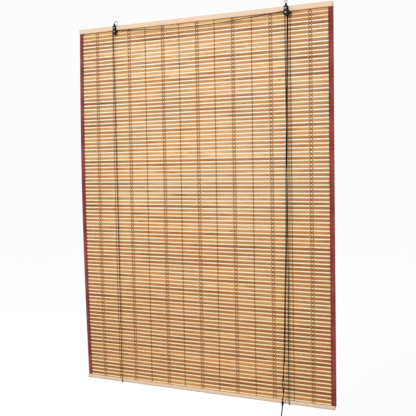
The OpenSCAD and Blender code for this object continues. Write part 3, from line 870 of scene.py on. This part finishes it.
z = strand_heights(BACK_STEPS)
back_x = np.concatenate([straight_x, single_x])
back_y = mat_y + rest_depth(z, WOUND_D)
thread_piece("threads_behind", strands(back_x[:, None], back_y, z), WOUND_D, single_finish)

# %% [markdown]
# ## Edge tapes
# A burgundy cotton tape is folded over each edge of the mat and sewn through it once in each row.
# The tape is one sheet: its outline runs across the front, round the edge and across the back. It
# sags a little between the reeds, and each stitch pulls a dimple into it. Solidify gives the cloth
# its thickness inwards, so the outside stays where it was worked out.

# %% Tape surface
TAPE_T = 0.8 * MM
TAPE_DIP = 0.3 * MM
STITCH_IN = 4 * MM
DIMPLE_DEPTH = 1.1 * MM
DIMPLE_H = 2.4 * MM
DIMPLE_W = 2.0 * MM
HEM_WANDER = 0.35 * MM
HEM_WAVES = (41, 97)
TAPE_STEPS = 6
FACE_POINTS = 8
FOLD_POINTS = 9
tape_low, tape_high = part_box("edge_binding_right")
tape_half = (tape_high.y - tape_low.y) / 2
fold_x = tape_high.x - tape_half
face_w = fold_x - tape_low.x
tape_flat_w = 2 * face_w + math.pi * tape_half
tape_flat_l = tape_high.z - tape_low.z


def tape_outline():
    """Place across, depth and distance from the nearer hem, along the tape from hem to hem.

    The faces are straight, and the fold between them is half a circle round the edge of the mat.
    """
    across = np.linspace(0, face_w, FACE_POINTS, endpoint=False)
    angle = np.linspace(0, math.pi, FOLD_POINTS)
    fold = fold_x + tape_half * np.sin(angle)
    x = np.concatenate([tape_low.x + across, fold, tape_low.x + across[::-1]])
    depth = np.concatenate([np.full(FACE_POINTS, -1.0), -np.cos(angle), np.full(FACE_POINTS, 1.0)])
    run = np.concatenate([across, face_w + tape_half * angle, tape_flat_w - across[::-1]])
    return x, depth, run


def tape_sag(z, hem):
    """How far the cloth lies below the crowns of the reeds: a wave, and a dimple at each stitch.

    The wave is a cosine with its crest on each slat, and the dimple a bell round each stitch.
    """
    phase = row_phase(z)[:, None]
    between = 0.5 + 0.5 * np.cos(TURN * phase)
    off_row = (phase - np.round(phase)) * pitch / DIMPLE_H
    off_hem = (hem - STITCH_IN) / DIMPLE_W
    return between * TAPE_DIP + np.exp(-(off_row**2 + off_hem**2)) * DIMPLE_DEPTH


def tape_points(side):
    """The tape's outer face: the outline carried down the edge, with its sag and wandering hem."""
    x, depth, run = tape_outline()
    z = np.linspace(tape_high.z, tape_low.z, row_count * TAPE_STEPS + 1)
    hem = np.minimum(run, tape_flat_w - run)
    flat = np.clip(1 - (hem - face_w) / tape_half, 0, 1) ** 2
    y = mat_y + depth * (tape_half - tape_sag(z, hem) * flat)
    long_wave, short_wave = HEM_WAVES
    wander = HEM_WANDER * (np.sin(z * long_wave + side) + np.sin(z * short_wave + 2 * side))
    across = x + wander[:, None] * np.clip(1 - hem / face_w, 0, 1)
    points = hung(np.stack(np.broadcast_arrays(side * across, y, z[:, None]), axis=-1))
    return points, run, z


print("tape cut", round(tape_flat_w / MM, 1), "by", round(tape_flat_l / MM, 1), "mm")

# %% [markdown]
# The weave of the tape is plain: threads over and under by turns, a little less than a millimetre
# apart. Its UV map is in metres of cloth, so the weave follows the fold. Each thread differs a
# little.

# %% Tape finish
WEAVE_PITCH = 0.9 * MM


def burgundy_tape():
    """Plain weave: the product of two sine waves over the cloth, with slubs and faded patches."""
    finish = Finish("burgundy_tape", {"Specular IOR Level": 0.1, "Sheen Weight": 0.2})
    across, along, _ = finish.split(finish.node("ShaderNodeUVMap"))
    half_wave = TURN / 2 / WEAVE_PITCH
    weave = (across * half_wave).sine() * (along * half_wave).sine()
    slub = finish.noise(finish.point(across * 2200.0, along * 90.0, 0.0), detail=2.0)
    faded = finish.noise(finish.place(), scale=14.0, detail=3.0)
    base = finish.mix(finish.step(faded, 0.3, 0.7), paint(127, 51, 48), paint(151, 72, 67))
    # The weave scales the colour, so the low points of the weave carry painted shade.
    colour = base * (0.78 + 0.14 * weave + 0.4 * slub)
    return finish.surface(colour, 0.8 + 0.15 * slub, weave * 0.5 + slub * 0.5, 0.2 * MM)


tape_finish = burgundy_tape()
print("tape finish has", len(tape_finish.node_tree.nodes), "nodes")

# %% [markdown]
# The stitches are short arcs of dark red thread, one in each dimple, on both faces. A texture would
# do from far away, but a raised thread catches the light as a sewn one does.

# %% Tapes and their stitches
STITCH_D = 1.8 * MM
STITCH_H = 7 * MM
STITCH_POINTS = 5
STITCH_RISE = 0.35
STITCH_BOW = 0.6


def dark_stitch():
    """Dark red sewing thread."""
    finish = Finish("dark_stitch", {"Specular IOR Level": 0.1})
    fuzz = finish.noise(finish.place(), scale=1800.0, detail=1.0)
    colour = finish.mix(fuzz, paint(54, 12, 14), paint(84, 24, 26))
    return finish.surface(colour, 0.85, fuzz, 0.1 * MM)


def tape_faces(shape, side):
    """Quads of an open sheet, turned to face outwards on either side."""
    index = np.arange(shape[0] * shape[1]).reshape(shape)
    corners = [index[:-1, :-1], index[1:, :-1], index[1:, 1:], index[:-1, 1:]]
    return np.stack(corners[::side], axis=-1).reshape(-1, 4)


def edge_tape(name, node, side):
    """One folded tape with its thickness turned inwards."""
    points, run, z = tape_points(side)
    faces = tape_faces(points.shape[:2], side)
    cloth = np.stack(np.broadcast_arrays(run[None], z[:, None]), axis=-1).reshape(-1, 2)
    tape = new_piece(name, points, [faces], tape_finish, [node], cloth[faces.ravel()])
    thick = tape.modifiers.new("thickness", "SOLIDIFY")
    thick.thickness = TAPE_T
    thick.offset = -1
    return tape


def stitch_row(name, side):
    """One short arc of thread in each dimple, on the front and the back of the tape.

    An arc is a parabola: it rises in the middle and dips into the cloth at both ends.
    """
    bow = np.linspace(-1, 1, STITCH_POINTS)
    middle = slat_z(np.arange(row_count))
    z = np.tile(middle, 2)[:, None] + bow * STITCH_H / 2
    face = np.repeat([-1.0, 1.0], row_count)[:, None]
    sag = tape_sag(z.ravel(), np.array([STITCH_IN])).reshape(z.shape)
    y = mat_y + face * (tape_half - sag + STITCH_D * (STITCH_RISE - STITCH_BOW * bow**2))
    x = np.full_like(z, side * (tape_low.x + STITCH_IN))
    paths = hung(np.stack([x, y, z], axis=-1))
    rings = tubes(paths, STITCH_D / 2, THREAD_SIDES, FRONT)
    faces, _ = ring_faces(rings.shape[:3])
    return new_piece(name, rings, faces, stitch_finish)


stitch_finish = dark_stitch()
for side, word in ((-1, "left"), (1, "right")):
    tape = edge_tape(f"edge_tape_{word}", f"edge_binding_{word}", side)
    stitches = stitch_row(f"tape_stitches_{word}", side)

# %% [markdown]
# ## Pine
# Battens and rails are planed pine without varnish. Cut along the trunk, it shows its yearly rings
# as lines that wander slowly along the length. A sine over the two short directions makes the
# rings, and noise that is stretched along the length makes them wander. The same sine gives rings
# on the ends.

# %% Planed pine
RING_PITCH = 4.5 * MM


def planed_pine():
    """Pale wood: soft early wood, darker late wood in wandering lines, and fine fibres."""
    finish = Finish("planed_pine", {"Specular IOR Level": 0.25})
    place = finish.place()
    _, y, z = finish.split(place)
    wander = finish.noise(place * (1.1, 26.0, 26.0), detail=3.0)
    ring = ((z + y * 0.7) * (TURN / RING_PITCH) + wander * 11.0).sine()
    fibre = finish.noise(place * (22.0, 1100.0, 1100.0), detail=3.0)
    blush = finish.noise(place * (3.0, 9.0, 9.0), detail=2.0)
    late = finish.step(ring, -0.2, 1.0) * 0.5
    wood = finish.mix(late, paint(226, 201, 174), paint(208, 172, 138))
    wood = finish.mix(finish.step(blush, 0.45, 0.7) * 0.4, wood, paint(228, 194, 164))
    colour = wood * (0.93 + 0.13 * fibre)
    return finish.surface(colour, 0.5 + 0.2 * fibre, fibre * 0.7 + ring * 0.15, 0.08 * MM)


def dress(finish, names):
    """Gives a rigid piece its finish in place of the plain one."""
    for name in names:
        nodes[name].data.materials.clear()
        nodes[name].data.materials.append(finish)
    print(finish.name, "on", ", ".join(names))


dress(planed_pine(), ["headrail", "headrail_back_batten", "bottom_rail", "bottom_rail_back_strip"])

# %% [markdown]
# ## Metal and plastic
# The straps and the lock lever are steel with satin black paint, which is slightly uneven and
# dulled by handling, and so is the lever's pin. The wheels are moulded black plastic. Axles and
# screws are zinc plated, bright with a faint mottle, the hangers are duller wire, and the tacks are
# plain steel.

# %% Paint, plastic and zinc
def black_paint():
    """Satin black: nearly black, with an orange-peel relief and duller patches."""
    finish = Finish("black_paint", {"Specular IOR Level": 0.15})
    place = finish.place()
    peel = finish.noise(place, scale=900.0, detail=1.0)
    dull = finish.noise(place, scale=120.0, detail=3.0)
    colour = finish.mix(finish.step(dull, 0.4, 0.75), paint(17, 13, 12), paint(30, 25, 24))
    return finish.surface(colour, 0.4 + 0.25 * dull, peel, 0.06 * MM)


def moulded_black():
    """Black plastic with a fine sparkle of moulding grain."""
    finish = Finish("moulded_black", {"Specular IOR Level": 0.15})
    place = finish.place()
    grain = finish.noise(place, scale=2500.0, detail=1.0)
    scuff = finish.noise(place, scale=160.0, detail=3.0)
    colour = finish.mix(finish.step(scuff, 0.5, 0.8), paint(14, 11, 11), paint(28, 24, 23))
    return finish.surface(colour, 0.4 + 0.2 * scuff, grain, 0.03 * MM)


def bare_metal(name, light, dark):
    """Plated or plain steel: two greys in a mottle, with fine scratches in the gloss."""
    finish = Finish(name, {"Metallic": 1.0})
    place = finish.place()
    mottle = finish.noise(place, scale=420.0, detail=3.0)
    scratch = finish.noise(place * (300.0, 3000.0, 300.0), detail=2.0)
    colour = finish.mix(mottle, dark, light)
    return finish.surface(colour, 0.35 + 0.25 * scratch, scratch, 0.01 * MM)


dress(
    black_paint(),
    ["pulley_bracket_left", "pulley_bracket_right", "lock_lever", "lock_lever_pin"],
)
dress(
    moulded_black(),
    ["pulley_wheel_left", "pulley_wheel_right_front", "pulley_wheel_right_rear"],
)
dress(
    bare_metal("bright_zinc", paint(204, 203, 199), paint(164, 163, 160)),
    ["pulley_axle_left", "pulley_axle_right", "bracket_screw_left", "bracket_screw_right"],
)
dress(
    bare_metal("dull_wire", paint(94, 90, 86), paint(68, 65, 62)),
    ["hanger_hook_left", "hanger_eye_right"],
)
dress(
    bare_metal("plain_tack", paint(176, 174, 170), paint(140, 138, 134)),
    ["headrail_tacks", "bottom_rail_tacks"],
)

# %% [markdown]
# ## Light, floor and background
# The blind hangs in front of white. One large soft lamp lights it from the front, a little from the
# left and from above the headrail, so the light is even, the shadows are faint, and the foot of the
# mat is slightly darker. The sky fills the shadows at half strength. What the camera sees of it,
# directly or in metal, is the white of a studio backdrop. The floor lies well below the blind. For
# the camera it glows until it is as white as the sky, and it keeps the shadow that falls on it.

# %% Sky
SKY_FILL = 0.5
SKY_SEEN = 0.977


def seen_rays(bench):
    """1 for camera, glossy and transmission rays, and 0 for the rays that light the object."""
    path = bench.node("ShaderNodeLightPath")
    outputs = path.socket.node.outputs
    glossy = Wire(bench, outputs["Is Glossy Ray"])
    clear = Wire(bench, outputs["Is Transmission Ray"])
    return path.larger(glossy).larger(clear)


world = bpy.data.worlds.new("white_room")
world.use_nodes = True
scene.world = world
sky = Bench(world.node_tree)
sky_light = world.node_tree.nodes["Background"]
sky.feed(sky_light.inputs["Color"], (1.0, 1.0, 1.0, 1.0))
sky.feed(sky_light.inputs["Strength"], SKY_FILL + (SKY_SEEN - SKY_FILL) * seen_rays(sky))
print("sky of", SKY_FILL, "as light and", SKY_SEEN, "as seen")

# %% Lamp
LAMP_AT = np.array([-300.0, -3600.0, 900.0]) * MM
LAMP_AIM = np.array([0.0, 0.0, -700.0]) * MM
LAMP_SIZE = 2000 * MM
LAMP_WATTS = 110.0

lamp_data = bpy.data.lights.new("soft_lamp", "AREA")
lamp_data.energy = LAMP_WATTS
lamp_data.size = LAMP_SIZE
lamp = bpy.data.objects.new("soft_lamp", lamp_data)
lamp_back = unit(LAMP_AT - LAMP_AIM)
lamp_side = unit(np.cross([0.0, 0.0, 1.0], lamp_back))
lamp_turn = Matrix(np.array([lamp_side, np.cross(lamp_back, lamp_side), lamp_back]).T.tolist())
lamp.matrix_world = Matrix.Translation(LAMP_AT) @ lamp_turn.to_4x4()
lamp.visible_camera = False
scene.collection.objects.link(lamp)
print("one lamp of", LAMP_WATTS, "W")

# %% Floor
FLOOR_Z = -2.4
FLOOR_HALF = 30.0
FLOOR_GLOW = 0.64

floor_mesh = bpy.data.meshes.new("floor")
floor_corners = np.array([[-1, -1, 0], [1, -1, 0], [1, 1, 0], [-1, 1, 0]]) * FLOOR_HALF
floor_corners[:, 2] = FLOOR_Z
floor_mesh.from_pydata(floor_corners.tolist(), [], [(0, 1, 2, 3)])
floor = bpy.data.objects.new("floor", floor_mesh)
scene.collection.objects.link(floor)
pale = Finish("pale_floor", {"Specular IOR Level": 0.0, "Emission Strength": 1.0})
pale.feed(pale.shader.inputs["Base Color"], paint(214, 214, 214))
pale.feed(pale.shader.inputs["Emission Color"], FLOOR_GLOW * seen_rays(pale))
floor_mesh.materials.append(pale.material)
print("floor at", FLOOR_Z, "m")

# %% [markdown]
# ## Size
# The dressed blind fills nearly the same box as its rigid pieces: only the bowed left edge stands
# out by a few millimetres.
